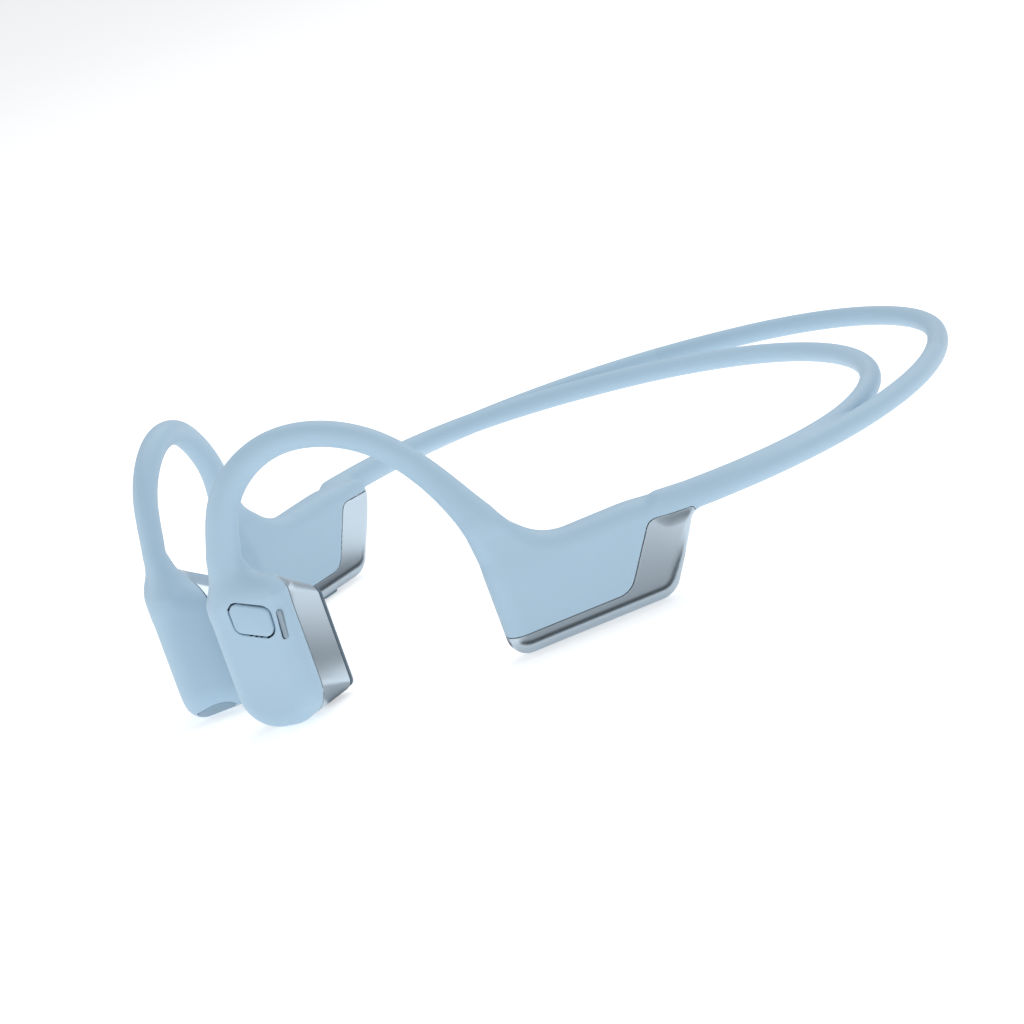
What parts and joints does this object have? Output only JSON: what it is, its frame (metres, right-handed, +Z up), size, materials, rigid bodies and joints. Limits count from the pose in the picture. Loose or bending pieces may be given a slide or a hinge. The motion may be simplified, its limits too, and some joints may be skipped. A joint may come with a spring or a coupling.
{
  "type": "bone conduction headphones",
  "caption": "Open-ear bone conduction headphones: contact pods, ear hooks, slim cases and a flexible neckband drawn as two nested loops.",
  "frame": {"origin": "middle of the footprint, on the surface that the headphones stand on", "axes": "+X towards the wearer's left, +Y towards the back of the neckband, +Z up; the pods are at -Y"},
  "size_m": [0.1006, 0.1284, 0.0395],
  "materials": {
    "shell_skin": "soft-touch matte, light blue",
    "silicone_sleeve": "matte silicone, light blue",
    "silicone_outer_loop": "matte silicone, a darker shade of the same blue",
    "metal_housing": "satin metallic, silver-blue",
    "gasket": "dark matte",
    "contact_pad": "matte silicone",
    "vent_insert": "matte, darker blue-grey",
    "mic_mesh": "fine woven mesh, dark",
    "mic_capsule": "plain can",
    "circuit_board": "solder-resist green",
    "switch": "plain black",
    "button_cap": "matte, light blue",
    "soft_iron": "zinc plated",
    "magnet": "nickel plated",
    "coil": "enamelled copper wire",
    "spring_steel": "plain",
    "titanium_wire": "plain drawn wire",
    "battery": "foil pouch",
    "port_metal": "plain",
    "volume_key": "matte, darker blue-grey"
  },
  "bodies": {
    "neckband": {"inner_band_rear_sleeve": "silicone_sleeve", "outer_band_rear_sleeve": "silicone_outer_loop", "inner_band_wire": "titanium_wire", "outer_band_wire": "titanium_wire", "left_inner_band_flex": "silicone_sleeve", "left_outer_band_flex": "silicone_outer_loop", "right_inner_band_flex": "silicone_sleeve", "right_outer_band_flex": "silicone_outer_loop"},
    "left_side": {"left_pod_outer_shell": "shell_skin", "left_pod_housing": "metal_housing", "left_pod_gasket": "gasket", "left_contact_pad": "contact_pad", "left_vent_insert": "vent_insert", "left_mic_mesh": "mic_mesh", "left_mic_capsule": "mic_capsule", "left_pod_board": "circuit_board", "left_button_switch": "switch", "left_voice_coil": "coil", "left_spring_plate": "spring_steel", "left_ear_hook_sleeve": "silicone_sleeve", "left_ear_hook_wire": "titanium_wire", "left_case_outer_shell": "shell_skin", "left_case_inner_cover": "shell_skin", "left_case_trim_shell": "metal_housing", "left_band_arm": "silicone_sleeve", "battery_cell": "battery", "battery_board": "circuit_board"},
    "right_side": {"right_pod_outer_shell": "shell_skin", "right_pod_housing": "metal_housing", "right_pod_gasket": "gasket", "right_contact_pad": "contact_pad", "right_vent_insert": "vent_insert", "right_mic_mesh": "mic_mesh", "right_mic_capsule": "mic_capsule", "right_pod_board": "circuit_board", "right_button_switch": "switch", "right_voice_coil": "coil", "right_spring_plate": "spring_steel", "right_ear_hook_sleeve": "silicone_sleeve", "right_ear_hook_wire": "titanium_wire", "right_case_outer_shell": "shell_skin", "right_case_inner_cover": "shell_skin", "right_case_trim_shell": "metal_housing", "right_band_arm": "silicone_sleeve", "main_board": "circuit_board", "charging_port": "port_metal"},
    "left_button": {"left_button_cap": "button_cap"},
    "left_motor": {"left_transducer_yoke": "soft_iron", "left_transducer_magnet": "magnet", "left_transducer_top_plate": "soft_iron"},
    "right_button": {"right_button_cap": "button_cap"},
    "right_motor": {"right_transducer_yoke": "soft_iron", "right_transducer_magnet": "magnet", "right_transducer_top_plate": "soft_iron"},
    "volume_up": {"volume_up_key": "volume_key"},
    "volume_down": {"volume_down_key": "volume_key"}
  },
  "joints": [
    {"name": "left_spread", "type": "hinge", "parent": "neckband", "child": "left_side", "pos_m": [0.02922, 0.0444, 0.0117], "axis": [0, 0, 1], "range_deg": [0, 20], "stiffness_Nm_per_rad": 0.22, "deforming": ["left_inner_band_flex", "left_outer_band_flex", "inner_band_wire", "outer_band_wire"]},
    {"name": "right_spread", "type": "hinge", "parent": "neckband", "child": "right_side", "pos_m": [-0.02922, 0.0444, 0.0117], "axis": [0, 0, 1], "range_deg": [-20, 0], "stiffness_Nm_per_rad": 0.22, "deforming": ["right_inner_band_flex", "right_outer_band_flex", "inner_band_wire", "outer_band_wire"]},
    {"name": "left_button_press", "type": "slide", "parent": "left_side", "child": "left_button", "axis": [-0.5, 0.866, 0], "range_m": [0, 0.0003], "stiffness_N_per_m": 3000, "springref_m": -0.0003},
    {"name": "right_button_press", "type": "slide", "parent": "right_side", "child": "right_button", "axis": [0.5, 0.866, 0], "range_m": [0, 0.0003], "stiffness_N_per_m": 3000, "springref_m": -0.0003},
    {"name": "volume_up_press", "type": "slide", "parent": "right_side", "child": "volume_up", "axis": [0, 0, 1], "range_m": [0, 0.00025], "stiffness_N_per_m": 3000, "springref_m": -0.0003},
    {"name": "volume_down_press", "type": "slide", "parent": "right_side", "child": "volume_down", "axis": [0, 0, 1], "range_m": [0, 0.00025], "stiffness_N_per_m": 3000, "springref_m": -0.0003},
    {"name": "left_motor_stroke", "type": "slide", "parent": "left_side", "child": "left_motor", "axis": [-0.5, 0.866, 0], "range_m": [-0.0002, 0.0002], "stiffness_N_per_m": 300, "deforming": ["left_spring_plate"]},
    {"name": "right_motor_stroke", "type": "slide", "parent": "right_side", "child": "right_motor", "axis": [0.5, 0.866, 0], "range_m": [-0.0002, 0.0002], "stiffness_N_per_m": 300, "deforming": ["right_spring_plate"]}
  ]
}
